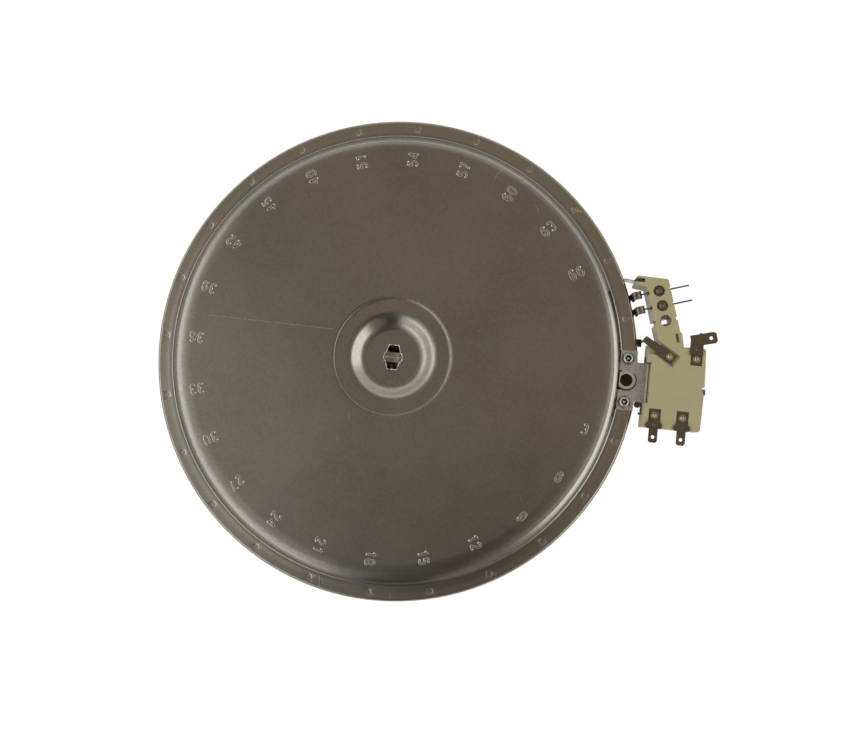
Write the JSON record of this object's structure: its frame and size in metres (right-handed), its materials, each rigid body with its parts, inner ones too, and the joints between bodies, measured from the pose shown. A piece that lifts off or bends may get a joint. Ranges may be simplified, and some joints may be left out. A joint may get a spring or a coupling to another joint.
{
  "type": "dual radiant surface element",
  "caption": "Round dual-circuit radiant heater for a glass-ceramic hob: pressed steel pan with insulation and heating ribbons, and a rod limiter with a ceramic switch block at its rim.",
  "frame": {"origin": "on the pan's axis, in the plane of the insulating rings' faces that meet the glass", "axes": "+Z from the glass to the pan's base plate, +X along the limiter's tube towards the switch block, +Y towards the block's arm"},
  "size_m": [0.3101, 0.27, 0.0278],
  "materials": {
    "pan_sheet": "satin rolled sheet steel, lightly scratched",
    "mineral_bed": "matt pressed mineral powder",
    "mineral_ring": "matt pressed mineral fibre",
    "ribbon_alloy": "oxidised resistance alloy",
    "lead_strip": "heat-tinted brown steel strip",
    "lead_wire": "dark oxidised wire",
    "splice_metal": "tarnished metal sleeve",
    "anchor_strip": "bright strip steel",
    "steatite": "matt unglazed steatite",
    "steatite_cover": "matt unglazed steatite",
    "bracket_sheet": "grey coated sheet steel",
    "zinc_screw": "bright zinc plated",
    "spring_leaf": "blue-black tempered steel",
    "terminal_metal": "heat-tinted terminal strip",
    "rivet_metal": "dull plated brass",
    "quartz": "milky quartz tube",
    "expander_alloy": "drawn alloy wire",
    "small_steel": "plain steel",
    "disc_ceramic": "smooth white ceramic",
    "contact_brass": "contact spring strip",
    "set_screw": "tinted steel"
  },
  "bodies": {
    "root": {"pan": "pan_sheet", "base_insulation": "mineral_bed", "rim_ring": "mineral_ring", "divider_ring": "mineral_ring", "outer_ribbon": "ribbon_alloy", "inner_ribbon": "ribbon_alloy", "heater_strap": "lead_strip", "outer_lead": "lead_strip", "inner_lead": "lead_strip", "outer_wire": "lead_wire", "inner_wire": "lead_wire", "outer_splice": "splice_metal", "inner_splice": "splice_metal", "arm_anchor": "anchor_strip", "ceramic_base": "steatite", "ceramic_cover": "steatite_cover", "limiter_bracket": "bracket_sheet", "bracket_screw_upper": "zinc_screw", "bracket_screw_lower": "zinc_screw", "retaining_leaf": "spring_leaf", "strap_rivet": "rivet_metal", "power_tab": "terminal_metal", "power_rivet": "rivet_metal", "signal_tab_left": "terminal_metal", "signal_rivet_left": "rivet_metal", "signal_tab_right": "terminal_metal", "signal_rivet_right": "rivet_metal", "limiter_tube": "quartz", "expansion_wire": "expander_alloy", "end_nut": "small_steel", "return_spring": "small_steel", "spring_cup": "small_steel", "push_disc": "disc_ceramic", "limit_blade": "contact_brass", "limit_contact": "contact_brass", "signal_blade": "contact_brass", "signal_contact": "contact_brass", "calibration_screw": "set_screw"}
  },
  "joints": []
}
